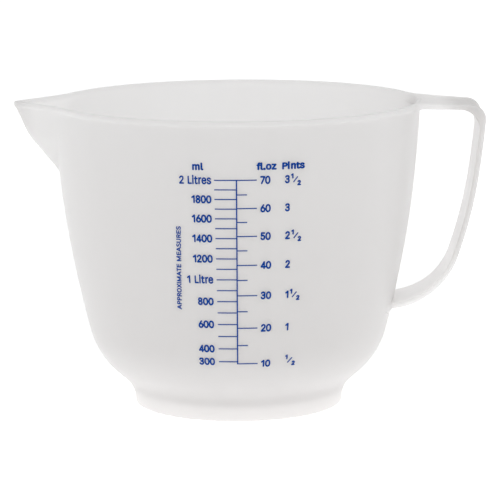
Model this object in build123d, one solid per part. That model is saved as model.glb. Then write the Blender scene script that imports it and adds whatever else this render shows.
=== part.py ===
from math import ceil, cos, pi, radians, sin, sqrt, tan
import os

from build123d import *

os.makedirs("parts", exist_ok=True)

# Two litre measuring jug, one polypropylene moulding with a scale printed on its front.
# Millimetres. Z is up and zero on the ground, the bowl's axis is Z, the spout points to -X,
# the handle to +X and the printed scale faces -Y.

# Moulding, overall
HEIGHT = 148.0
WALL = 1.8
LIP_HEIGHT = 2.6
LIP_BEAD = 0.6
LIP_ROUND = 0.9

# Outside of the bowl and its foot: (height, lean of the wall out of the vertical in degrees)
FOOT_RADIUS = 50.3
FOOT_EDGE_ROUND = 1.3
PROFILE = [(0.0, 2.0), (2.0, 4.5), (13.5, 49.0), (17.0, 49.0), (36.0, 14.5), (70.0, 11.0),
           (110.0, 6.0), (148.0, 2.5)]

# Inside of the bowl and of the hollow foot
FLOOR_UNDERSIDE = 5.2
FLOOR_TOP = 7.4
FLOOR_SPLIT_RADIUS = 44.0
FLOOR_CORNER_ROUND = 3.0
FOOT_INNER_RADIUS = 47.4
FOOT_INNER_DRAFT = 0.5

# Pouring spout: a V with straight flanks whose keel leans in towards the wall
SPOUT_HALF_ANGLE = 51.0
SPOUT_KEEL_TOP_X = -107.4
SPOUT_KEEL = [(105.0, 39.5), (128.5, 39.5), (135.0, 23.5), (150.0, 23.5)]
SPOUT_NOSE_ROUND = 2.0
SPOUT_THROAT_ROUND = 1.0
SPOUT_INNER_END_X = -62.0
SPOUT_JUNCTION_ROUND = 5.0

# Handle: a strap that leaves the rim, turns down and curves back into the wall
STRAP = 2.6
GRIP_OUTER_BOTTOM_X = 74.5
GRIP = [(48.1, 86.0), (72.0, 19.5), (112.0, 8.5), (130.0, 6.0)]
ROOT_RUN_IN = 8.0
ARM_START_X = 80.0
ARM_TOP_AT_RIM = 147.7
ARM_DROOP = 3.3
CORNER_ROUND_OUTER = 7.0
CORNER_ROUND_INNER = 9.5
ARM_HALF_WIDTHS = [(80.0, 34.0), (86.0, 25.2), (91.0, 22.2), (108.0, 17.9), (113.0, 17.1), (126.0, 17.1)]
GRIP_HALF_WIDTHS = [(44.0, 21.0), (50.0, 17.8), (56.0, 15.4), (64.0, 14.6), (80.0, 14.6),
                    (112.0, 15.8), (138.0, 17.0), (156.0, 17.4)]
CHANNEL_DEPTH = 0.6
CHANNEL_MARGIN = 2.3
CHANNEL_END_X = 93.5
CHANNEL_END_Z = 60.0

# Printed scale
INK = 0.12
INK_FACET = 0.02
PINT = 568.261
FLUID_OUNCE = PINT / 20
SPINE_X = -0.4
SPINE_WIDTH = 0.62
TICK_WIDTH = 0.5
SCALE_TOP = 2000
SCALE_BOTTOM = 300
MILLILITRE_TICK = (8.4, 9.95)
FLUID_OUNCE_TICK = 8.95
FLUID_OUNCE_SHORT_TICK = 4.5
FIGURE_HEIGHT = 3.9
FIGURE_STROKE = 0.82
WORD_STROKE = 0.74
FIGURE_WIDTH = 0.9
MILLILITRE_FIGURE_X = (-10.9, -11.9)
FLUID_OUNCE_FIGURE_X = 10.4
PINT_FIGURE_X = 21.7
HALF_GAP = 0.5
HALF_HEIGHT = 2.5
LONE_HALF_RAISE = 1.2
HALF_STROKE = 0.68
HEADING_Z = 125.5
HEADING_HEIGHT = 3.35
HEADING_STROKE = 0.78
CAPTION_X = -26.0
CAPTION_BOTTOM_Z = 58.6
CAPTION_LENGTH = 40.2
CAPTION_HEIGHT = 2.3


def chain(first, stations):
    """Run of tangent arcs: (distance, height, lean) at each station, from the lean at each height."""
    run = [(first, stations[0][0], stations[0][1])]
    for height, lean in stations[1:]:
        across, below, lean_below = run[-1]
        mean = radians((lean + lean_below) / 2)
        run.append((across + (height - below) * tan(mean), height, lean))
    return run


def inward(run, depth):
    """The same run moved by depth towards the axis, square to itself."""
    return [(x - depth * cos(radians(a)), z + depth * sin(radians(a)), a) for x, z, a in run]


def leg_at(low, high, height):
    """Distance from the axis at a height between two stations of a run."""
    x, z, lean = low
    change = sin(radians(high[2])) - sin(radians(lean))
    if abs(change) < 1e-9:
        return x + (height - z) * tan(radians(lean))
    bend = (high[1] - z) / change
    sine = sin(radians(lean)) + (height - z) / bend
    return x + bend * (cos(radians(lean)) - sqrt(1 - sine * sine))


def distance_at(run, height):
    """Distance from the axis at any height of a run."""
    for low, high in zip(run, run[1:]):
        if height <= high[1]:
            return leg_at(low, high, height)
    return run[-1][0]


def run_edges(run):
    """Lines and arcs through a run, in the XZ plane."""
    edges = []
    for low, high in zip(run, run[1:]):
        start = (low[0], 0, low[1])
        end = (high[0], 0, high[1])
        if abs(high[2] - low[2]) < 1e-9:
            edges.append(Line(start, end))
        else:
            middle = (low[1] + high[1]) / 2
            edges.append(ThreePointArc(start, (leg_at(low, high, middle), 0, middle), end))
    return edges


def closed_face(edges, corners):
    """Face bounded by the edges and then by straight lines through the corners."""
    start = edges[0] @ 0
    path = [edges[-1] @ 1] + [Vector(*corner) for corner in corners] + [start]
    lines = [Line(a, b) for a, b in zip(path, path[1:])]
    return make_face(edges + lines).face()


def turned(run):
    """Solid of revolution about Z of everything between the axis and a run."""
    top = run[-1][1]
    bottom = run[0][1]
    return revolve(closed_face(run_edges(run), [(0, 0, top), (0, 0, bottom)]), Axis.Z)


def slab(low, high, reach=200.0):
    """Everything between two heights."""
    return Pos(0, 0, (low + high) / 2) * Box(2 * reach, 2 * reach, high - low)


OUTSIDE = chain(FOOT_RADIUS, PROFILE)
RIM_RADIUS = OUTSIDE[-1][0]
LIP_BOTTOM = HEIGHT - LIP_HEIGHT


def body_of_revolution():
    """The turned body with a solid inside: bowl, floor and foot skirt, up to the lip."""
    solid = turned(OUTSIDE) & slab(0, LIP_BOTTOM)
    edge = solid.edges().group_by(Axis.Z)[0]
    return fillet(edge, FOOT_EDGE_ROUND)


def cavity():
    """Inside of the bowl, from the floor up past the rim."""
    run = inward(OUTSIDE[1:], WALL)
    run.append((run[-1][0], HEIGHT + 10, 0.0))
    run[-2] = (run[-2][0], run[-2][1], 0.0)
    hollow = turned(run) & slab(FLOOR_TOP, HEIGHT + 8)
    return fillet(hollow.edges().group_by(Axis.Z)[0], FLOOR_CORNER_ROUND)


def foot_recess():
    """Hollow under the floor, inside the foot ring."""
    cone = Cone(FOOT_INNER_RADIUS + FOOT_INNER_DRAFT, FOOT_INNER_RADIUS, FLOOR_UNDERSIDE)
    return Pos(0, 0, FLOOR_UNDERSIDE / 2) * cone


def keel_run(shift):
    """Keel line of the spout in the XZ plane, moved along X."""
    run = chain(0.0, SPOUT_KEEL)
    offset = SPOUT_KEEL_TOP_X + distance_at(run, LIP_BOTTOM) + shift
    return [(offset - x, z, -a) for x, z, a in run]


def keel_face(shift):
    """Everything behind the keel line, in the XZ plane."""
    run = keel_run(shift)
    edges = []
    for low, high in zip(run, run[1:]):
        start = (low[0], 0, low[1])
        end = (high[0], 0, high[1])
        if abs(high[2] - low[2]) < 1e-9:
            edges.append(Line(start, end))
        else:
            edges.append(TangentArc(start, end, tangent=(sin(radians(low[2])), 0, cos(radians(low[2])))))
    return closed_face(edges, [(0, 0, run[-1][1]), (0, 0, run[0][1])])


def wedge(shift, nose):
    """V-shaped block of the spout: both flanks run back from the keel at the half angle."""
    face = keel_face(shift)
    angle = radians(SPOUT_HALF_ANGLE)
    reach = 130.0
    blocks = []
    for side in (1, -1):
        along = Vector(cos(angle), side * sin(angle), 0)
        far = face.moved(Location(along * -reach))
        blocks.append(Solid.extrude(far, along * (2 * reach)))
    block = blocks[0] & blocks[1]
    keel = [e for e in block.edges() if abs(e.center().Y) < 0.01 and e.center().X < -60]
    block = fillet(keel, nose)
    keep = Pos(SPOUT_INNER_END_X - 50, 0, 128) * Box(100, 120, 80)
    return block & keep


def lip_outline(bead):
    """Plan of the mouth: the rim circle with the spout's V, both moved out by bead."""
    angle = radians(SPOUT_HALF_ANGLE)
    apex = SPOUT_KEEL_TOP_X - bead / sin(angle)
    circle = Circle(RIM_RADIUS + bead)
    back = apex + 80 * cos(angle)
    corner = 80 * sin(angle)
    triangle = make_face(Polyline((apex, 0), (back, corner), (back, -corner), close=True))
    outline = circle + (triangle & (Pos(-100, 0) * Rectangle(110, 120)))
    nose = outline.vertices().sort_by(Axis.X)[0]
    outline = fillet(nose, SPOUT_NOSE_ROUND if bead > 0 else SPOUT_THROAT_ROUND)
    meets = [v for v in outline.vertices() if -90 < v.X < -78 and 20 < abs(v.Y) < 36]
    return fillet(meets, SPOUT_JUNCTION_ROUND)


def rim_lip():
    """Rounded lip round the mouth and the spout."""
    ring = extrude(lip_outline(LIP_BEAD), LIP_HEIGHT) - extrude(lip_outline(-WALL), LIP_HEIGHT)
    ring = Pos(0, 0, LIP_BOTTOM) * ring
    return fillet(ring.edges().group_by(Axis.Z)[-1], LIP_ROUND)


def pouring_spout():
    """Walls of the spout below the lip, outside the bowl."""
    inner = wedge(WALL / sin(radians(SPOUT_HALF_ANGLE)), SPOUT_THROAT_ROUND)
    walls = wedge(0, SPOUT_NOSE_ROUND) - inner - turned(OUTSIDE)
    return walls & slab(90, LIP_BOTTOM)


def bowl():
    """Wall of the bowl above the floor, open at the spout."""
    wall = body_of_revolution() - cavity()
    wall -= wedge(WALL / sin(radians(SPOUT_HALF_ANGLE)), SPOUT_THROAT_ROUND)
    wall = wall & slab(FLOOR_UNDERSIDE, LIP_BOTTOM)
    return wall - Pos(0, 0, 10) * Cylinder(FLOOR_SPLIT_RADIUS, 20)


def bowl_floor():
    """Flat disc that closes the bottom of the bowl."""
    thickness = FLOOR_TOP - FLOOR_UNDERSIDE
    return Pos(0, 0, FLOOR_UNDERSIDE + thickness / 2) * Cylinder(FLOOR_SPLIT_RADIUS, thickness)


def foot_ring():
    """Skirt that the jug stands on, hollow underneath."""
    return (body_of_revolution() & slab(0, FLOOR_UNDERSIDE)) - foot_recess()


def strap_face(out, depth, round_outer, round_inner):
    """Side view of the strap between two lines: out beyond its outside, and depth inside it."""
    grip = chain(GRIP_OUTER_BOTTOM_X, GRIP)
    droop = radians(ARM_DROOP)
    corners = []
    runs = []
    for offset in (-out, depth):
        run = inward(grip, offset)
        x, z, lean = run[-1]
        top = ARM_TOP_AT_RIM + RIM_RADIUS * tan(droop) - offset / cos(droop)
        slope = tan(radians(lean))
        corner_x = (x + (top - z) * slope) / (1 + slope * tan(droop))
        corners.append((corner_x, top - corner_x * tan(droop)))
        runs.append(run)
    start_z = [z + (x - ARM_START_X) * tan(droop) for x, z in corners]
    root = [(x - ROOT_RUN_IN * sin(radians(a)), z - ROOT_RUN_IN * cos(radians(a))) for x, z, a in
            (runs[0][0], runs[1][0])]
    outer = run_edges(runs[0])
    inner = run_edges(runs[1])
    path = [outer[-1] @ 1, (corners[0][0], 0, corners[0][1]), (ARM_START_X, 0, start_z[0]),
            (ARM_START_X, 0, start_z[1]), (corners[1][0], 0, corners[1][1]), inner[-1] @ 1]
    ends = [inner[0] @ 0, (root[1][0], 0, root[1][1]), (root[0][0], 0, root[0][1]), outer[0] @ 0]
    lines = [Line(a, b) for a, b in zip(path, path[1:])] + [Line(a, b) for a, b in zip(ends, ends[1:])]
    face = make_face(outer + inner + lines).face()
    for (x, z), size in zip(corners, (round_outer, round_inner)):
        tip = face.vertices().sort_by_distance((x, 0, z))[0]
        face = face.fillet_2d(size, [tip])
    return face


def half_width_face(plane, widths, margin):
    """Symmetric outline from half widths along a line, on a plane."""
    side = [(along, half - margin) for along, half in widths]
    upper = Spline(*side)
    lower = Spline(*[(along, -half) for along, half in side])
    ends = [Line(upper @ 1, lower @ 1), Line(upper @ 0, lower @ 0)]
    return plane * make_face([upper, lower] + ends).face()


def strap(out, depth, margin, round_outer, round_inner):
    """The handle strap: its side view, limited by its plan and its front view."""
    side = extrude(strap_face(out, depth, round_outer, round_inner), 45, both=True)
    plan = half_width_face(Plane.XY.offset(60), ARM_HALF_WIDTHS, margin)
    front = half_width_face(Plane((60, 0, 0), x_dir=(0, 0, 1), z_dir=(1, 0, 0)), GRIP_HALF_WIDTHS, margin)
    upper = extrude(plan, 120) & slab(120, 160)
    lower = extrude(front, 80) & slab(20, 141)
    meeting = extrude(front, 80) & slab(141, 160) & Pos(160, 0, 150) * Box(100, 100, 60)
    return side & (lower + (upper & slab(141, 160)) + meeting)


def handle():
    """Open strap handle with a shallow channel down its outside."""
    body = strap(0, STRAP, 0, CORNER_ROUND_OUTER, CORNER_ROUND_INNER)
    channel = strap(1.0, CHANNEL_DEPTH, CHANNEL_MARGIN, CORNER_ROUND_OUTER + 1, CORNER_ROUND_OUTER)
    channel = channel & Pos(CHANNEL_END_X + 50, 0, CHANNEL_END_Z + 50) * Box(100, 100, 100)
    body -= channel
    body -= turned(OUTSIDE)
    return body - extrude(Pos(0, 0, LIP_BOTTOM) * Circle(RIM_RADIUS), 20) - rim_lip()


def fill_height(millilitres):
    """Height of the liquid's surface when the bowl holds a volume."""
    run = inward(OUTSIDE[1:], WALL)
    step = 0.05
    height = FLOOR_TOP
    held = 0.0
    while held < millilitres * 1000:
        held += pi * distance_at(run, height + step / 2) ** 2 * step
        height += step
    return height - step * (held - millilitres * 1000) / (pi * distance_at(run, height) ** 2 * step)


def along_scale(pair, height):
    """Value that goes evenly from its bottom figure to its top figure up the scale."""
    low = fill_height(SCALE_BOTTOM)
    high = fill_height(SCALE_TOP)
    return pair[0] + (pair[1] - pair[0]) * (height - low) / (high - low)


def thinned(points):
    """The fewest of the points whose straight lines stay within a facet's error of them all."""
    chord = points[-1] - points[0]
    gaps = [(point - points[0]).cross(chord).length / chord.length for point in points]
    worst = gaps.index(max(gaps))
    if gaps[worst] < INK_FACET:
        return [points[0], points[-1]]
    return thinned(points[:worst + 1])[:-1] + thinned(points[worst:])


def faceted_loop(wire):
    """Closed outline made of short straight lines."""
    count = ceil(wire.length / 0.06)
    points = [wire @ (step / count) for step in range(count)]
    spans = [(point - points[0]).length for point in points]
    far = spans.index(max(spans))
    ring = thinned(points[:far + 1])[:-1] + thinned(points[far:] + [points[0]])[:-1]
    return Wire.make_polygon(ring, close=True)


def faceted(face):
    """Flat face with its curves made of short straight lines."""
    return Face(faceted_loop(face.outer_wire()), [faceted_loop(wire) for wire in face.inner_wires()])


def printed(drawings):
    """Ink: drawings of lines in X and Z laid on the front of the wall, following its curve."""
    outer = turned(inward(OUTSIDE, -INK)) & (Pos(0, -75, 80) * Box(70, 60, 120))
    skin = outer - turned(OUTSIDE)
    faces = [face for drawing in drawings for face in drawing.faces()]
    prisms = [Solid.extrude(Plane.XZ * face, Vector(0, -95, 0)) for face in faces]
    pieces = [piece for prism in prisms for piece in (prism & skin).solids()]
    return Compound(children=pieces)


def wall_contact(across, height):
    """Upright drawing plane that touches the front of the wall: X sideways, Y up the wall, Z outward."""
    radius = distance_at(OUTSIDE, height)
    slope = (distance_at(OUTSIDE, height + 0.1) - distance_at(OUTSIDE, height - 0.1)) / 0.2
    depth = -sqrt(radius * radius - across * across)
    outward = Vector(across / radius, depth / radius, -slope)
    sideways = Vector(-depth / radius, across / radius, 0)
    return Plane(origin=(across, depth, height), x_dir=sideways, z_dir=outward)


def stamped(drawings):
    """Ink: each small drawing in X and Z laid as one flat piece that touches the front of the wall."""
    pieces = []
    for face in [face for drawing in drawings for face in drawing.faces()]:
        middle = face.bounding_box().center()
        plane = wall_contact(middle.X, middle.Y)
        flat = plane * (Pos(-middle.X, -middle.Y) * face)
        pieces.append(Solid.extrude(flat, plane.z_dir * INK))
    return Compound(children=pieces)


def drawn(text, height, stroke, width=1.0):
    """Text drawn with a round pen, height measured over the capitals and the pen."""
    size = 10.0
    capital = Text("H", size, font="singleline", single_line_width=0.1).bounding_box().size.Y - 0.1
    size *= (height - stroke) / capital
    letters = Text(text, size, font="singleline", single_line_width=stroke, align=(Align.MIN, Align.MIN))
    letters = Pos(0, -letters.bounding_box().min.Y) * letters
    letters = scale(letters, (width, 1, 1))
    return Sketch([faceted(face) for face in letters.faces()])


def box_flat(left, right, bottom, top):
    """Upright rectangle of a flat drawing."""
    return Pos((left + right) / 2, (bottom + top) / 2) * Rectangle(right - left, top - bottom)


def tick(left, right, height):
    """Graduation line centred on a height."""
    return box_flat(left, right, height - TICK_WIDTH / 2, height + TICK_WIDTH / 2)


def scale_spine():
    """Upright line that both scales share."""
    bottom = fill_height(10 * FLUID_OUNCE) - TICK_WIDTH / 2
    top = fill_height(SCALE_TOP) + TICK_WIDTH / 2
    return printed([box_flat(SPINE_X - SPINE_WIDTH / 2, SPINE_X + SPINE_WIDTH / 2, bottom, top)])


def millilitre_ticks():
    """One graduation for every hundred millilitres, left of the spine."""
    right = SPINE_X - SPINE_WIDTH / 2
    lines = []
    for volume in range(SCALE_BOTTOM, SCALE_TOP + 100, 100):
        height = fill_height(volume)
        lines.append(tick(right - along_scale(MILLILITRE_TICK, height), right, height))
    return printed(lines)


def fluid_ounce_height(ounces):
    """Height of a fluid ounce graduation; the highest shares its line with two litres."""
    return fill_height(SCALE_TOP if ounces == 70 else ounces * FLUID_OUNCE)


def fluid_ounce_ticks():
    """Long graduations every ten fluid ounces and short ones between, right of the spine."""
    left = SPINE_X + SPINE_WIDTH / 2
    lines = []
    for ounces in range(10, 75, 5):
        reach = FLUID_OUNCE_TICK if ounces % 10 == 0 else FLUID_OUNCE_SHORT_TICK
        lines.append(tick(left, left + reach, fluid_ounce_height(ounces)))
    return printed(lines)


def millilitre_figures():
    """Figures left of the millilitre graduations, ending on a common line."""
    labels = {volume: str(volume) for volume in (300, 400, 600, 800, 1200, 1400, 1600, 1800)}
    labels[1000] = "1 Litre"
    labels[2000] = "2 Litres"
    words = []
    for volume, text in labels.items():
        height = fill_height(volume)
        stroke = WORD_STROKE if " " in text else FIGURE_STROKE
        word = drawn(text, FIGURE_HEIGHT, stroke, FIGURE_WIDTH)
        shift = along_scale(MILLILITRE_FIGURE_X, height) - word.bounding_box().max.X
        words.append(Pos(shift, height - FIGURE_HEIGHT / 2) * word)
    return stamped(words)


def fluid_ounce_figures():
    """Figures right of the long fluid ounce graduations."""
    words = []
    for ounces in range(10, 80, 10):
        word = drawn(str(ounces), FIGURE_HEIGHT, FIGURE_STROKE, FIGURE_WIDTH)
        shift = FLUID_OUNCE_FIGURE_X - word.bounding_box().min.X
        words.append(Pos(shift, fluid_ounce_height(ounces) - FIGURE_HEIGHT / 2) * word)
    return stamped(words)


def one_half():
    """The fraction one half: a raised one, a short bar on the slant and a lowered two."""
    one = drawn("1", HALF_HEIGHT, HALF_STROKE)
    two = drawn("2", HALF_HEIGHT, HALF_STROKE)
    one = Pos(-one.bounding_box().min.X, FIGURE_HEIGHT - HALF_HEIGHT + 0.7) * one
    two = Pos(2.9 - two.bounding_box().min.X, -1.2) * two
    bar = Pos(2.15, FIGURE_HEIGHT / 2 - 0.25) * Rot(0, 0, 52) * Rectangle(3.3, HALF_STROKE * 0.75)
    return [one, two, bar]


def pint_figures():
    """Pints in steps of a half, one for every ten fluid ounces."""
    words = []
    for halves in range(1, 8):
        base = fluid_ounce_height(10 * halves) - FIGURE_HEIGHT / 2 + (LONE_HALF_RAISE if halves == 1 else 0)
        left = PINT_FIGURE_X
        if halves > 1:
            word = drawn(str(halves // 2), FIGURE_HEIGHT, FIGURE_STROKE, FIGURE_WIDTH)
            word = Pos(left - word.bounding_box().min.X, base) * word
            words.append(word)
            left = word.bounding_box().max.X + HALF_GAP
        if halves % 2:
            words += [Pos(left, base) * stroke for stroke in one_half()]
    return stamped(words)


def unit_headings():
    """Names of the units above their columns."""
    words = []
    for text, left, right in (("ml", -20.6, -15.4), ("fl.oz", 8.75, 18.0), ("Pints", 20.4, 31.1)):
        word = drawn(text, HEADING_HEIGHT, HEADING_STROKE)
        box = word.bounding_box()
        word = scale(word, ((right - left) / box.size.X, 1, 1))
        words.append(Pos(left - word.bounding_box().min.X, HEADING_Z) * word)
    return stamped(words)


def side_caption():
    """Note that the measures are approximate, reading upwards at the left of the scale."""
    words = drawn("APPROXIMATE MEASURES", FIGURE_HEIGHT, WORD_STROKE)
    box = words.bounding_box()
    words = Pos(-box.min.X, -box.min.Y) * words
    words = scale(words, (CAPTION_LENGTH / box.size.X, CAPTION_HEIGHT / box.size.Y, 1))
    return stamped([Pos(CAPTION_X, CAPTION_BOTTOM_Z) * Rot(0, 0, 90) * words])


NODES = {
    "bowl": bowl,
    "bowl_floor": bowl_floor,
    "foot_ring": foot_ring,
    "rim_lip": rim_lip,
    "pouring_spout": pouring_spout,
    "handle": handle,
    "scale_spine": scale_spine,
    "millilitre_ticks": millilitre_ticks,
    "fluid_ounce_ticks": fluid_ounce_ticks,
    "millilitre_figures": millilitre_figures,
    "fluid_ounce_figures": fluid_ounce_figures,
    "pint_figures": pint_figures,
    "unit_headings": unit_headings,
    "side_caption": side_caption,
}

for name, make in NODES.items():
    export_step(make(), f"parts/{name}.step")
    print(name)
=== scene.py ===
"""Milky polypropylene measuring jug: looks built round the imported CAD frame."""

from math import atan2, ceil, cos, pi, radians, sin, sqrt, tan

import bmesh
import bpy
from mathutils import Matrix, Vector


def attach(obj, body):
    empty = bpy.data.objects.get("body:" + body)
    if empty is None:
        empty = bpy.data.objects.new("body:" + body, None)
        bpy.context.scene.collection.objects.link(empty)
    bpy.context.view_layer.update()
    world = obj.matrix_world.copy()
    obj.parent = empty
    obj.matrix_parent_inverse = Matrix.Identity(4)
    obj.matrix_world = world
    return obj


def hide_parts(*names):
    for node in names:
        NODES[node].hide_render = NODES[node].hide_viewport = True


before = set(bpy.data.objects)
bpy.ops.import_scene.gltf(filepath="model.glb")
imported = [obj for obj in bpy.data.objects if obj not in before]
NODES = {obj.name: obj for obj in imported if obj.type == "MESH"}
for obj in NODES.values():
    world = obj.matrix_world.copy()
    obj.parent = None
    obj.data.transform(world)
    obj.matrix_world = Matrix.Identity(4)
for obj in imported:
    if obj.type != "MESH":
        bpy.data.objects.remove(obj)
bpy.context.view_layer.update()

# ---------------------------------------------------------------------------------------------
# The moulding, in millimetres: the same driving dimensions as the CAD
# ---------------------------------------------------------------------------------------------
MM = 0.001
HEIGHT = 148.0
WALL = 1.8
LIP_HEIGHT = 2.6
LIP_BEAD = 0.6
LIP_ROUND = 0.9
FOOT_RADIUS = 50.3
FOOT_EDGE_ROUND = 1.3
PROFILE = [(0.0, 2.0), (2.0, 4.5), (13.5, 49.0), (17.0, 49.0), (36.0, 14.5), (70.0, 11.0),
           (110.0, 6.0), (148.0, 2.5)]
FLOOR_UNDERSIDE = 5.2
FLOOR_TOP = 7.4
FLOOR_CORNER = 2.2
FOOT_INNER_RADIUS = 47.4
FOOT_INNER_DRAFT = 0.5

SPOUT_HALF_ANGLE = radians(51.0)
SPOUT_KEEL_TOP = 107.4
SPOUT_KEEL = [(105.0, 39.5), (128.5, 39.5), (135.0, 23.5), (150.0, 23.5)]
SPOUT_NOSE_ROUND = 2.0
SPOUT_THROAT_ROUND = 1.0
SPOUT_REACH_ANGLE = radians(50)
SPOUT_CREASE = 1.6
LIP_CREASE = 4.0

# The outer wall lies this far under the CAD wall, so that it doesn't hide the ink
UNDER_INK = 0.03

# Heights between which the rings of the skin change their spacing
CURVED_WALL_TOP = 40.0
SPOUT_ZONE_BOTTOM = 104.0

# Smooth shading stops at edges sharper than this
SHARP_ANGLE = radians(38)

STRAP = 2.6
GRIP_OUTER_BOTTOM_X = 74.5
GRIP = [(48.1, 86.0), (72.0, 19.5), (112.0, 8.5), (130.0, 6.0)]
ARM_TOP_AT_RIM = 147.7
ARM_DROOP = radians(3.3)
CORNER_ROUND_OUTER = 7.0
CORNER_ROUND_INNER = 9.5
ARM_HALF_WIDTHS = [(80.0, 34.0), (86.0, 25.2), (91.0, 22.2), (108.0, 17.9), (113.0, 17.1),
                   (130.0, 17.1)]
GRIP_HALF_WIDTHS = [(44.0, 21.0), (50.0, 17.8), (56.0, 15.4), (64.0, 14.6), (80.0, 14.6),
                    (112.0, 15.8), (138.0, 17.0), (156.0, 17.4)]
CHANNEL_DEPTH = 0.6
CHANNEL_MARGIN = 2.3
CHANNEL_START_X = 93.5
CHANNEL_END_Z = 60.0
STRAP_EDGE_ROUND = 0.85

# Steps along the strap: the arm, the corner, and the grip as far as its highest station
ARM_STEPS = 22
CORNER_STEPS = 12
GRIP_TOP_STEPS = 9
ARM_BOTTOM_Z = 120.0

# Roots of the strap: how far its ends go into the lip and the wall, and how they are rounded
UPPER_ROOT_INSET = 0.6
UPPER_ROOT_REACH = 12.0
UPPER_ROOT_ROUND = 1.6
LOWER_ROOT_REACH = 3.2
LOWER_ROOT_ROUND = 2.2
LOWER_ROOT_PULL = 0.12

# Directions of the points that round a right-angled corner
QUARTER = [i / 6 * pi / 2 for i in range(7)]


def chain(first, stations):
    """Run of tangent arcs: (distance, height, lean) at each station, from its height and lean."""
    run = [(first, stations[0][0], stations[0][1])]
    for height, lean in stations[1:]:
        across, below, lean_below = run[-1]
        mean = radians((lean + lean_below) / 2)
        run.append((across + (height - below) * tan(mean), height, lean))
    return run


def inward(run, depth):
    """The same run moved by depth towards the axis, square to itself."""
    return [(x - depth * cos(radians(a)), z + depth * sin(radians(a)), a) for x, z, a in run]


def leg_at(low, high, height):
    """Distance from the axis at a height between two stations of a run."""
    x, z, lean = low
    change = sin(radians(high[2])) - sin(radians(lean))
    if abs(change) < 1e-9:
        return x + (height - z) * tan(radians(lean))
    bend = (high[1] - z) / change
    sine = sin(radians(lean)) + (height - z) / bend
    return x + bend * (cos(radians(lean)) - sqrt(1 - sine * sine))


def distance_at(run, height):
    """Distance from the axis at any height of a run."""
    for low, high in zip(run, run[1:]):
        if height <= high[1]:
            return leg_at(low, high, height)
    return run[-1][0]


def arc_point(low, high, share):
    """(distance, height, lean) part of the way along the arc between two stations of a run."""
    lean = low[2] + (high[2] - low[2]) * share
    change = sin(radians(high[2])) - sin(radians(low[2]))
    if abs(change) < 1e-9:
        return (low[0] + (high[0] - low[0]) * share, low[1] + (high[1] - low[1]) * share, lean)
    bend = (high[1] - low[1]) / change
    return (low[0] + bend * (cos(radians(low[2])) - cos(radians(lean))),
            low[1] + bend * (sin(radians(lean)) - sin(radians(low[2]))), lean)


def smooth_between(table, at):
    """Value at a place in a table of (place, value), by a smooth curve through all of them."""
    if at <= table[0][0]:
        return table[0][1]
    if at >= table[-1][0]:
        return table[-1][1]
    slopes = []
    for i in range(len(table)):
        a, b = table[max(i - 1, 0)], table[min(i + 1, len(table) - 1)]
        slopes.append((b[1] - a[1]) / (b[0] - a[0]))
    for i, (a, b) in enumerate(zip(table, table[1:])):
        if at <= b[0]:
            run = b[0] - a[0]
            t = (at - a[0]) / run
            return ((2 * t ** 3 - 3 * t ** 2 + 1) * a[1]
                    + (t ** 3 - 2 * t ** 2 + t) * run * slopes[i]
                    + (3 * t ** 2 - 2 * t ** 3) * b[1]
                    + (t ** 3 - t ** 2) * run * slopes[i + 1])


def ease(low, high, at):
    """0 below low, 1 above high, smooth between."""
    t = max(0.0, min(1.0, (at - low) / (high - low)))
    return t * t * (3 - 2 * t)


def larger(a, b, blend):
    """The larger of two distances, with the corner between them rounded."""
    gap = max(blend - abs(a - b), 0.0) / blend
    return max(a, b) + gap * gap * blend / 4


OUTSIDE = chain(FOOT_RADIUS, PROFILE)
INSIDE = inward(OUTSIDE[1:], WALL)
RIM_RADIUS = OUTSIDE[-1][0]
LIP_BOTTOM = HEIGHT - LIP_HEIGHT
KEEL = chain(0.0, SPOUT_KEEL)
KEEL_TOP = distance_at(KEEL, LIP_BOTTOM)


def keel_at(height):
    """Distance of the spout's keel from the axis."""
    return SPOUT_KEEL_TOP + distance_at(KEEL, height) - KEEL_TOP


def flank(apex, nose, turn):
    """Distance of the V's surface along a ray turned from -X, with the nose rounded."""
    centre = apex - nose / sin(SPOUT_HALF_ANGLE)
    touch = nose / tan(SPOUT_HALF_ANGLE)
    if abs(turn) < atan2(touch * sin(SPOUT_HALF_ANGLE), apex - touch * cos(SPOUT_HALF_ANGLE)):
        return centre * cos(turn) + sqrt(nose ** 2 - (centre * sin(turn)) ** 2)
    return apex * sin(SPOUT_HALF_ANGLE) / sin(SPOUT_HALF_ANGLE + abs(turn))


def mouth(round_wall, apex, nose, turn, blend):
    """Distance of the wall and spout together along a ray."""
    if abs(turn) > SPOUT_REACH_ANGLE or apex < round_wall - blend:
        return round_wall
    return larger(round_wall, flank(apex, nose, turn), blend)


def outer_wall(height, turn):
    """Distance of the outside, spout and all, at a height and a direction."""
    apex = keel_at(height) if height > SPOUT_KEEL[0][0] else 0.0
    round_wall = distance_at(OUTSIDE, height) - UNDER_INK
    return mouth(round_wall, apex, SPOUT_NOSE_ROUND, turn, SPOUT_CREASE)


def inner_wall(height, turn):
    """Distance of the inside at a height and a direction."""
    apex = keel_at(height) - WALL / sin(SPOUT_HALF_ANGLE) if height > SPOUT_KEEL[0][0] else 0.0
    return mouth(distance_at(INSIDE, height), apex, SPOUT_THROAT_ROUND, turn, SPOUT_CREASE)


def lip_edge(bead, turn):
    """Distance of an edge of the lip, bead outside the wall, or inside it if bead is negative."""
    nose = SPOUT_NOSE_ROUND if bead > 0 else SPOUT_THROAT_ROUND
    apex = SPOUT_KEEL_TOP + bead / sin(SPOUT_HALF_ANGLE)
    return mouth(RIM_RADIUS + bead, apex, nose, turn, LIP_CREASE)


def spread(low, high, step):
    """Values from low up to but not including high, at about a step."""
    count = max(1, ceil((high - low) / step))
    return [low + (high - low) * i / count for i in range(count)]


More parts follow.
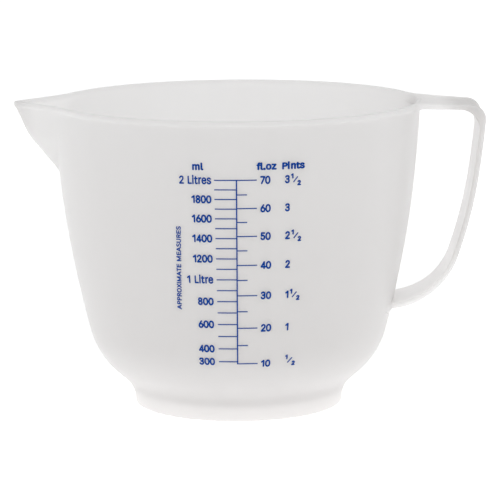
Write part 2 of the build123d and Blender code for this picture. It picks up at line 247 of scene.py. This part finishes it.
def turns():
    """Directions round the axis, measured from -X, closest together across the spout."""
    half = (spread(0.0, 1.0, 0.16) + spread(1.0, 24.0, 0.42) + spread(24.0, 40.0, 0.8)
            + spread(40.0, 180.0, 1.25))
    return [radians(t) for t in [-t for t in half[:0:-1]] + half + [180.0]]


def section_rows():
    """The moulding's section as rings: up from the floor's inside, over the lip, down and under.

    Each ring is a function of the direction that gives (distance from the axis, height)."""
    rows = []

    def plain(radius, height):
        rows.append(lambda turn: (radius, height))

    def inside(height):
        rows.append(lambda turn: (inner_wall(height, turn), height))

    def outside(height):
        rows.append(lambda turn: (outer_wall(height, turn), height))

    corner = distance_at(INSIDE, FLOOR_TOP)
    for radius in (2.0, 8.0, 16.0, 24.0, 32.0, 38.0, 42.0):
        plain(radius, FLOOR_TOP)
    start = corner - FLOOR_CORNER
    end_z = FLOOR_TOP + FLOOR_CORNER * 0.8
    end = distance_at(INSIDE, end_z)
    for i in range(7):
        t = i / 6
        plain((1 - t) ** 2 * start + 2 * t * (1 - t) * corner + t * t * end,
              (1 - t) ** 2 * FLOOR_TOP + 2 * t * (1 - t) * FLOOR_TOP + t * t * end_z)
    for height in (spread(end_z + 0.5, CURVED_WALL_TOP, 0.8)
                   + spread(CURVED_WALL_TOP, SPOUT_ZONE_BOTTOM, 2.0)
                   + spread(SPOUT_ZONE_BOTTOM, LIP_BOTTOM - 1.0, 0.8)):
        inside(height)

    def lip(share, height, bead=LIP_BEAD):
        """share is in millimetres inward from the lip's outside, square to the edge."""
        def place(turn):
            out, back = lip_edge(bead, turn), lip_edge(-WALL, turn)
            return (out + (back - out) * share / (bead + WALL), height)
        rows.append(place)

    across = LIP_BEAD + WALL
    lip(across, LIP_BOTTOM)
    lip(across, HEIGHT - LIP_ROUND - 0.6)
    for a in QUARTER:
        lip(across - LIP_ROUND * (1 - cos(a)), HEIGHT - LIP_ROUND * (1 - sin(a)))
    for a in QUARTER:
        lip(LIP_ROUND * (1 - sin(a)), HEIGHT - LIP_ROUND * (1 - cos(a)))
    lip(0.0, LIP_BOTTOM + 0.9)
    lip(0.0, LIP_BOTTOM + 0.45)
    for share, drop in ((0.06, 0.2), (0.2, 0.06), (0.42, -0.12), (0.55, -0.4)):
        lip(share, LIP_BOTTOM + drop)
    for height in reversed(spread(FOOT_EDGE_ROUND, CURVED_WALL_TOP, 0.7)
                           + spread(CURVED_WALL_TOP, SPOUT_ZONE_BOTTOM, 2.0)
                           + spread(SPOUT_ZONE_BOTTOM, LIP_BOTTOM - 0.8, 0.8)):
        outside(height)
    foot = distance_at(OUTSIDE, FOOT_EDGE_ROUND)
    for a in QUARTER[1:]:
        plain(foot - FOOT_EDGE_ROUND * (1 - cos(a)), FOOT_EDGE_ROUND * (1 - sin(a)))
    edge = FOOT_INNER_RADIUS + FOOT_INNER_DRAFT
    plain(edge + 0.35, 0.0)
    plain(edge + 0.1, 0.1)
    plain(edge, 0.35)
    plain(edge - 0.25, FLOOR_UNDERSIDE / 2)
    plain(FOOT_INNER_RADIUS, FLOOR_UNDERSIDE - 0.9)
    plain(FOOT_INNER_RADIUS - 0.26, FLOOR_UNDERSIDE - 0.26)
    plain(FOOT_INNER_RADIUS - 0.9, FLOOR_UNDERSIDE)
    for radius in (40.0, 32.0, 24.0, 16.0, 8.0, 2.0):
        plain(radius, FLOOR_UNDERSIDE)
    return rows


def new_piece(name, points, faces):
    """Mesh object from points in millimetres."""
    mesh = bpy.data.meshes.new(name)
    mesh.from_pydata([tuple(c * MM for c in p) for p in points], [], faces)
    mesh.validate()
    mesh.update()
    piece = bpy.data.objects.new(name, mesh)
    bpy.context.scene.collection.objects.link(piece)
    return piece


def body_mesh():
    """Bowl, spout, lip and foot as one closed skin."""
    rays = turns()
    rows = section_rows()
    width = len(rays)
    points = []
    for row in rows:
        for turn in rays:
            radius, height = row(turn)
            points.append((-radius * cos(turn), -radius * sin(turn), height))
    faces = []
    for r in range(len(rows) - 1):
        for k in range(width):
            a, b = r * width + k, r * width + (k + 1) % width
            faces.append((a, b, b + width, a + width))
    points += [(0.0, 0.0, FLOOR_TOP), (0.0, 0.0, FLOOR_UNDERSIDE)]
    last = (len(rows) - 1) * width
    for k in range(width):
        faces.append((len(points) - 2, (k + 1) % width, k))
        faces.append((len(points) - 1, last + k, last + (k + 1) % width))
    return new_piece("jug_moulding", points, faces)


def corner_arc(corner, towards_a, towards_b, radius, count):
    """Points of the rounding of a corner, from leg a to leg b."""
    a, b = Vector(towards_a).normalized(), Vector(towards_b).normalized()
    half = a.angle(b) / 2
    corner = Vector(corner)
    centre = corner + (a + b).normalized() * (radius / sin(half))
    start = corner + a * (radius / tan(half)) - centre
    end = corner + b * (radius / tan(half)) - centre
    whole = start.angle(end)
    arc = []
    for i in range(count + 1):
        t = i / count
        arc.append(centre + (start * sin((1 - t) * whole) + end * sin(t * whole)) / sin(whole))
    return [(p.x, p.y) for p in arc]


def strap_lines():
    """Matching points of the strap's outside and inside in XZ, from the rim to the lower root."""
    grip = chain(GRIP_OUTER_BOTTOM_X, GRIP)
    lines = []
    for depth, radius in ((0.0, CORNER_ROUND_OUTER), (STRAP, CORNER_ROUND_INNER)):
        x, z, lean = inward(grip, depth)[-1]
        top = ARM_TOP_AT_RIM + RIM_RADIUS * tan(ARM_DROOP) - depth / cos(ARM_DROOP)
        slope = tan(radians(lean))
        corner_x = (x + (top - z) * slope) / (1 + slope * tan(ARM_DROOP))
        corner = (corner_x, top - corner_x * tan(ARM_DROOP))
        arc = corner_arc(corner, (-cos(ARM_DROOP), sin(ARM_DROOP)),
                         (x - corner[0], z - corner[1]), radius, CORNER_STEPS)
        line = []
        for i in range(ARM_STEPS):
            along = RIM_RADIUS + (arc[0][0] - RIM_RADIUS) * i / ARM_STEPS
            line.append((along, top - along * tan(ARM_DROOP)))
        line += arc
        arc_x, arc_z = arc[-1]
        for i in range(1, GRIP_TOP_STEPS):
            line.append((arc_x + (x - arc_x) * i / GRIP_TOP_STEPS,
                         arc_z + (z - arc_z) * i / GRIP_TOP_STEPS))
        for high, low, count in ((3, 2, 8), (2, 1, 16), (1, 0, 26)):
            for i in range(count):
                point = arc_point(grip[low], grip[high], 1 - i / count)
                line.append(inward([point], depth)[0][:2])
        line.append(inward([grip[0]], depth)[0][:2])
        lines.append(line)
    return lines


def strap_section(half, depth, channel):
    """Half of the strap's section, from the middle of its outside to the middle of its inside.

    Each point is (sideways, share of the thickness)."""
    edge = STRAP_EDGE_ROUND
    margin = half - CHANNEL_MARGIN
    bed = CHANNEL_DEPTH * channel
    section = [(0.0, bed), (margin * 0.5, bed), (margin - 0.9, bed), (margin - 0.45, bed * 0.97),
               (margin - 0.15, bed * 0.72), (margin + 0.1, bed * 0.3), (margin + 0.4, bed * 0.04),
               (margin + 0.8, 0.0), (half - edge - 0.15, 0.0)]
    section += [(half - edge + edge * sin(a), edge - edge * cos(a)) for a in QUARTER]
    section += [(half - edge + edge * cos(a), depth - edge + edge * sin(a)) for a in QUARTER]
    section += [(half - edge - 0.8, depth), (half * 0.5, depth), (0.0, depth)]
    return [(y, n / depth) for y, n in section]


def root_flare(distance, size):
    """How far a rounded root stands out at a distance from the wall."""
    if distance >= size:
        return 0.0
    return size - sqrt(size * size - (size - distance) ** 2)


def strap_half_width(step, across, height):
    """Half of the strap's width at a step along it, given the place of its outside."""
    if step < ARM_STEPS:
        return smooth_between(ARM_HALF_WIDTHS, across)
    if step > ARM_STEPS + CORNER_STEPS:
        return smooth_between(GRIP_HALF_WIDTHS, height)
    t = (step - ARM_STEPS) / CORNER_STEPS
    return (smooth_between(ARM_HALF_WIDTHS, across) * (1 - t)
            + smooth_between(GRIP_HALF_WIDTHS, height) * t)


def channel_start(across):
    """0 where the arm is plain, 1 where the channel in it has its whole depth."""
    return ease(CHANNEL_START_X, CHANNEL_START_X + 3, across)


def upper_root():
    """Rings of the arm's first stretch, bent at its end to the curve of the rim."""
    inset = RIM_RADIUS - UPPER_ROOT_INSET
    reach_x = RIM_RADIUS + UPPER_ROOT_REACH
    rings = []
    for away in (-UPPER_ROOT_INSET, 0.0, 0.25, 0.6, 1.0, 1.5, 2.1, 2.9, 3.9, 5.1, 6.5, 8.1, 10.0):
        share = (away + UPPER_ROOT_INSET) / (UPPER_ROOT_REACH + UPPER_ROOT_INSET)

        def place(y, share=share):
            start = sqrt(max(inset ** 2 - y * y, 1.0))
            return start + (reach_x - start) * share

        # the width depends on where the ring's edge is, and the edge on the width
        half = 20.0
        for _ in range(12):
            half = smooth_between(ARM_HALF_WIDTHS, place(half))
        under = root_flare(max(away - 0.5, 0.0), UPPER_ROOT_ROUND)
        ring = []
        for y, n in strap_section(half, STRAP, channel_start(place(0.0))):
            x = place(y)
            top = ARM_TOP_AT_RIM + (RIM_RADIUS - x) * tan(ARM_DROOP)
            ring.append((x, y, top - STRAP * n - under * n))
        rings.append(ring)
    return rings


def free_strap(outer, inner):
    """Rings of the strap between its two roots."""
    rings = []
    for step, ((xo, zo), (xi, zi)) in enumerate(zip(outer, inner)):
        if xo < RIM_RADIUS + UPPER_ROOT_REACH + 0.8 and zo > ARM_BOTTOM_Z:
            continue
        channel = (channel_start(xo) if zo > ARM_BOTTOM_Z
                   else ease(CHANNEL_END_Z - 1, CHANNEL_END_Z + 4, zo))
        depth = sqrt((xo - xi) ** 2 + (zo - zi) ** 2)
        rings.append([(xo + (xi - xo) * n, y, zo + (zi - zo) * n)
                      for y, n in strap_section(strap_half_width(step, xo, zo), depth, channel)])
    return rings


def lower_root(outer_end, inner_end):
    """Rings of the strap's last stretch, bent to the curve of the wall."""
    (xo, zo), (xi, zi) = outer_end, inner_end
    half = smooth_between(GRIP_HALF_WIDTHS, zo)
    fall = 1 / tan(radians(GRIP[0][1]))
    rings = []
    for away in (LOWER_ROOT_REACH, 2.6, 2.0, 1.5, 1.05, 0.7, 0.4, 0.2, 0.0, -0.7):
        flare = root_flare(max(away, 0.0), LOWER_ROOT_ROUND)
        pull = LOWER_ROOT_PULL * (LOWER_ROOT_REACH - away) / LOWER_ROOT_REACH
        ring = []
        for y, n in strap_section(half + flare, STRAP, 0.0):
            x0 = xo + (xi - xo) * n
            z0 = zo + (zi - zo) * n
            x = min(sqrt((distance_at(OUTSIDE, z0) + away) ** 2 - y * y), x0 - pull)
            ring.append((x, y, z0 - (x0 - x) * fall - (1 - 2 * n) * flare))
        rings.append(ring)
    return rings


def handle_mesh():
    """The strap, with its ends let into the lip and the wall."""
    outer, inner = strap_lines()
    rings = upper_root() + free_strap(outer, inner) + lower_root(outer[-1], inner[-1])
    points, faces = [], []
    for ring in rings:
        points += ring + [(x, -y, z) for x, y, z in ring[-2:0:-1]]
    width = len(points) // len(rings)
    for r in range(len(rings) - 1):
        for k in range(width):
            a, b = r * width + k, r * width + (k + 1) % width
            faces.append((a, a + width, b + width, b))
    faces.append(tuple(range(width)))
    last = (len(rings) - 1) * width
    faces.append(tuple(last + k for k in range(width))[::-1])
    return new_piece("jug_handle", points, faces)


def tidy_skin(piece):
    """Closed skin with its faces pointing out."""
    skin = bmesh.new()
    skin.from_mesh(piece.data)
    bmesh.ops.remove_doubles(skin, verts=skin.verts, dist=1e-7)
    bmesh.ops.recalc_face_normals(skin, faces=skin.faces)
    skin.to_mesh(piece.data)
    skin.free()


def joined(body, strap):
    """Both skins as one, so that the jug is one moulding with nothing hidden inside it."""
    for piece in (body, strap):
        tidy_skin(piece)
    union = body.modifiers.new("join", "BOOLEAN")
    union.operation = "UNION"
    union.solver = "EXACT"
    union.object = strap
    depsgraph = bpy.context.evaluated_depsgraph_get()
    mesh = bpy.data.meshes.new_from_object(body.evaluated_get(depsgraph))
    body.modifiers.clear()
    body.data = mesh
    bpy.data.objects.remove(strap)
    mesh.name = "jug_moulding"
    mesh.polygons.foreach_set("use_smooth", [True] * len(mesh.polygons))
    mesh.set_sharp_from_angle(angle=SHARP_ANGLE)
    mesh.update()
    return body


# ---------------------------------------------------------------------------------------------
# Materials
# ---------------------------------------------------------------------------------------------
def shader(name):
    """New material, its node tree and its Principled node."""
    material = bpy.data.materials.new(name)
    material.use_nodes = True
    tree = material.node_tree
    return material, tree, tree.nodes["Principled BSDF"]


def noise(tree, size, detail=2.0, stretch=(1, 1, 1), roughness=0.5):
    """Noise texture in the object's own metres; size is the width of its features."""
    place = tree.nodes.new("ShaderNodeTexCoord")
    mapping = tree.nodes.new("ShaderNodeMapping")
    mapping.inputs["Scale"].default_value = stretch
    texture = tree.nodes.new("ShaderNodeTexNoise")
    texture.inputs["Scale"].default_value = 1 / size
    texture.inputs["Detail"].default_value = detail
    texture.inputs["Roughness"].default_value = roughness
    tree.links.new(place.outputs["Object"], mapping.inputs["Vector"])
    tree.links.new(mapping.outputs["Vector"], texture.inputs["Vector"])
    return texture.outputs["Fac"]


def ramp(tree, value, low, high, colours):
    """Colour that goes from the first to the second as the value goes from low to high."""
    node = tree.nodes.new("ShaderNodeValToRGB")
    node.color_ramp.elements[0].position = low
    node.color_ramp.elements[1].position = high
    for element, colour in zip(node.color_ramp.elements, colours):
        element.color = (*colour, 1.0)
    tree.links.new(value, node.inputs["Fac"])
    return node.outputs["Color"]


def spanned(tree, value, low, high):
    """Value from 0..1 moved to low..high."""
    node = tree.nodes.new("ShaderNodeMapRange")
    node.inputs["From Min"].default_value = 0.3
    node.inputs["From Max"].default_value = 0.7
    node.inputs["To Min"].default_value = low
    node.inputs["To Max"].default_value = high
    tree.links.new(value, node.inputs["Value"])
    return node.outputs["Result"]


def beyond(tree, start, end):
    """0 nearer to the bowl's axis than start, 1 farther out than end; metres."""
    place = tree.nodes.new("ShaderNodeTexCoord")
    level = tree.nodes.new("ShaderNodeVectorMath")
    level.operation = "MULTIPLY"
    level.inputs[1].default_value = (1, 1, 0)
    reach = tree.nodes.new("ShaderNodeVectorMath")
    reach.operation = "LENGTH"
    node = tree.nodes.new("ShaderNodeMapRange")
    node.interpolation_type = "SMOOTHSTEP"
    node.inputs["From Min"].default_value = start
    node.inputs["From Max"].default_value = end
    tree.links.new(place.outputs["Object"], level.inputs[0])
    tree.links.new(level.outputs["Vector"], reach.inputs[0])
    tree.links.new(reach.outputs["Value"], node.inputs["Value"])
    return node.outputs["Result"]


def mixed(tree, value, first, second):
    """First colour where the value is 0, second where it is 1."""
    node = tree.nodes.new("ShaderNodeMix")
    node.data_type = "RGBA"
    tree.links.new(value, node.inputs[0])
    tree.links.new(first, node.inputs[6])
    tree.links.new(second, node.inputs[7])
    return node.outputs[2]


def bumped(tree, layers):
    """Chain of bumps: each layer is (height value, depth in metres, strength)."""
    normal = None
    for height, depth, strength in layers:
        node = tree.nodes.new("ShaderNodeBump")
        node.inputs["Distance"].default_value = depth
        node.inputs["Strength"].default_value = strength
        tree.links.new(height, node.inputs["Height"])
        if normal is not None:
            tree.links.new(normal, node.inputs["Normal"])
        normal = node.outputs["Normal"]
    return normal


# Colours from the darker to the lighter part of each material's slow variation. It is all one
# plastic, but light reaches the handle and the spout's tip from both sides and makes them brighter
# than the wall, so the outboard colours are a darker copy of it: painted shade to even that out.
WALL_COLOURS = [(0.860, 0.833, 0.822), (0.880, 0.853, 0.842)]
OUTBOARD_PAINTED_SHADE_COLOURS = [(0.560, 0.546, 0.540), (0.580, 0.566, 0.560)]
INK_COLOURS = [(0.000, 0.046, 0.270), (0.002, 0.062, 0.330)]
FLOOR_COLOURS = [(0.93, 0.93, 0.93), (0.95, 0.95, 0.95)]

# Where the wall's colour starts and ends its change to the painted-shade one, metres from the axis
WALL_COLOUR_END = 0.096
PAINTED_SHADE_COLOUR_START = 0.108


def polypropylene():
    """Natural polypropylene: milky, lets light through, with a satin moulded surface."""
    material, tree, bsdf = shader("natural_polypropylene")
    clouds = noise(tree, 0.045, 3.0, (1, 1, 0.35))
    bsdf.inputs["IOR"].default_value = 1.49
    bsdf.inputs["Subsurface Weight"].default_value = 1.0
    bsdf.inputs["Subsurface Scale"].default_value = 0.018
    bsdf.inputs["Subsurface Radius"].default_value = (1.0, 1.0, 1.0)
    # Handle and spout tip take a darker copy of the wall colour: painted shade against the light
    # they get from both sides
    wall = ramp(tree, clouds, 0.35, 0.65, WALL_COLOURS)
    outboard_painted_shade = ramp(tree, clouds, 0.35, 0.65, OUTBOARD_PAINTED_SHADE_COLOURS)
    reach = beyond(tree, WALL_COLOUR_END, PAINTED_SHADE_COLOUR_START)
    tree.links.new(mixed(tree, reach, wall, outboard_painted_shade), bsdf.inputs["Base Color"])
    tree.links.new(spanned(tree, noise(tree, 0.012, 4.0), 0.30, 0.38), bsdf.inputs["Roughness"])
    grain = noise(tree, 0.0022, 2.0)
    waviness = noise(tree, 0.022, 1.0, (1, 1, 0.3))
    tree.links.new(bumped(tree, [(grain, 0.00004, 0.35), (waviness, 0.0003, 0.25)]),
                   bsdf.inputs["Normal"])
    return material


def ink():
    """Blue printing ink: thin, even, slightly worn in places."""
    material, tree, bsdf = shader("blue_ink")
    bsdf.inputs["IOR"].default_value = 1.5
    bsdf.inputs["Specular IOR Level"].default_value = 0.05
    tree.links.new(ramp(tree, noise(tree, 0.0016, 4.0), 0.3, 0.75, INK_COLOURS),
                   bsdf.inputs["Base Color"])
    tree.links.new(spanned(tree, noise(tree, 0.0009, 3.0), 0.38, 0.5), bsdf.inputs["Roughness"])
    tree.links.new(bumped(tree, [(noise(tree, 0.0005, 2.0), 0.00001, 0.4)]), bsdf.inputs["Normal"])
    return material


def floor_finish():
    """Plain pale studio floor, lit a little from within so that it stays white round the jug."""
    material, tree, bsdf = shader("studio_floor")
    bsdf.inputs["Specular IOR Level"].default_value = 0.2
    tree.links.new(ramp(tree, noise(tree, 0.4, 2.0), 0.3, 0.7, FLOOR_COLOURS),
                   bsdf.inputs["Base Color"])
    bsdf.inputs["Roughness"].default_value = 0.7
    bsdf.inputs["Emission Color"].default_value = (1, 1, 1, 1)
    bsdf.inputs["Emission Strength"].default_value = 0.42
    return material


# ---------------------------------------------------------------------------------------------
# Pieces
# ---------------------------------------------------------------------------------------------
jug = joined(body_mesh(), handle_mesh())
jug.data.materials.clear()
jug.data.materials.append(polypropylene())
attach(jug, "root")
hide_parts("bowl", "bowl_floor", "foot_ring", "rim_lip", "pouring_spout", "handle")

blue = ink()
for name in ("scale_spine", "millilitre_ticks", "fluid_ounce_ticks", "millilitre_figures",
             "fluid_ounce_figures", "pint_figures", "unit_headings", "side_caption"):
    NODES[name].data.materials.clear()
    NODES[name].data.materials.append(blue)


# ---------------------------------------------------------------------------------------------
# Studio
# ---------------------------------------------------------------------------------------------
STUDIO_RADIUS = 12000.0
STUDIO_DROP = 0.05


def disc(name, radius, drop, segments=96):
    """Flat round sheet below the table plane, in millimetres."""
    points = [(0.0, 0.0, -drop)]
    points += [(radius * cos(2 * pi * k / segments), radius * sin(2 * pi * k / segments), -drop)
               for k in range(segments)]
    faces = [(0, 1 + k, 1 + (k + 1) % segments) for k in range(segments)]
    return new_piece(name, points, faces)


floor = disc("studio_floor", STUDIO_RADIUS, STUDIO_DROP)
floor.data.materials.append(floor_finish())


def softbox(name, place, aim, size, power, colour=(1, 1, 1)):
    """Rectangular area light that faces a point; lengths in metres."""
    data = bpy.data.lights.new(name, "AREA")
    data.shape = "RECTANGLE"
    data.size, data.size_y = size
    data.energy = power
    data.color = colour
    light = bpy.data.objects.new(name, data)
    light.location = place
    light.rotation_euler = (Vector(aim) - Vector(place)).to_track_quat("-Z", "Y").to_euler()
    bpy.context.scene.collection.objects.link(light)
    return light


def studio_world(level_side, level_above):
    """White surround that is a little brighter overhead than at the sides."""
    made = bpy.data.worlds.new("studio")
    made.use_nodes = True
    tree = made.node_tree
    place = tree.nodes.new("ShaderNodeTexCoord")
    split = tree.nodes.new("ShaderNodeSeparateXYZ")
    level = tree.nodes.new("ShaderNodeMapRange")
    level.interpolation_type = "SMOOTHSTEP"
    level.inputs["From Min"].default_value = 0.0
    level.inputs["From Max"].default_value = 0.9
    level.inputs["To Min"].default_value = level_side
    level.inputs["To Max"].default_value = level_above
    tree.links.new(place.outputs["Generated"], split.inputs["Vector"])
    tree.links.new(split.outputs["Z"], level.inputs["Value"])
    tree.links.new(level.outputs["Result"], tree.nodes["Background"].inputs["Strength"])
    tree.nodes["Background"].inputs["Color"].default_value = (1, 1, 1, 1)
    return made


bpy.context.scene.world = studio_world(level_side=0.66, level_above=0.74)

softbox("key", place=(-0.9, -1.3, 1.3), aim=(0, 0, 0.07), size=(0.5, 0.9), power=0.65)
softbox("top", place=(-0.15, 0.5, 1.5), aim=(0, 0, 0.05), size=(0.5, 0.5), power=0.1)
softbox("fill", place=(1.1, -1.0, 0.8), aim=(0, 0, 0.07), size=(0.9, 0.9), power=0.2,
        colour=(1.0, 0.90, 0.82))

bpy.context.scene.view_settings.view_transform = "Standard"
bpy.context.scene.view_settings.look = "None"

# Camera: a long lens, a little above the jug and a little tilted
CAMERA_DISTANCE = 1.43425
CAMERA_ELEVATION = radians(9.561)
CAMERA_ROLL = radians(0.392)
CAMERA_LENS = 212.03
CAMERA_SHIFT = 0.02446
TARGET = Vector((0.0, 0.0, 0.07416))

camera_data = bpy.data.cameras.new("camera")
camera_data.sensor_width = 36.0
camera_data.lens = CAMERA_LENS
camera_data.shift_x = CAMERA_SHIFT
camera_data.clip_start = 0.05
camera_data.clip_end = 100.0
camera = bpy.data.objects.new("camera", camera_data)
back = Vector((0.0, -cos(CAMERA_ELEVATION), sin(CAMERA_ELEVATION)))
camera.location = TARGET + back * CAMERA_DISTANCE
turn = (-back).to_track_quat("-Z", "Y").to_matrix() @ Matrix.Rotation(-CAMERA_ROLL, 3, "Z")
camera.rotation_euler = turn.to_euler()
bpy.context.scene.collection.objects.link(camera)
bpy.context.scene.camera = camera
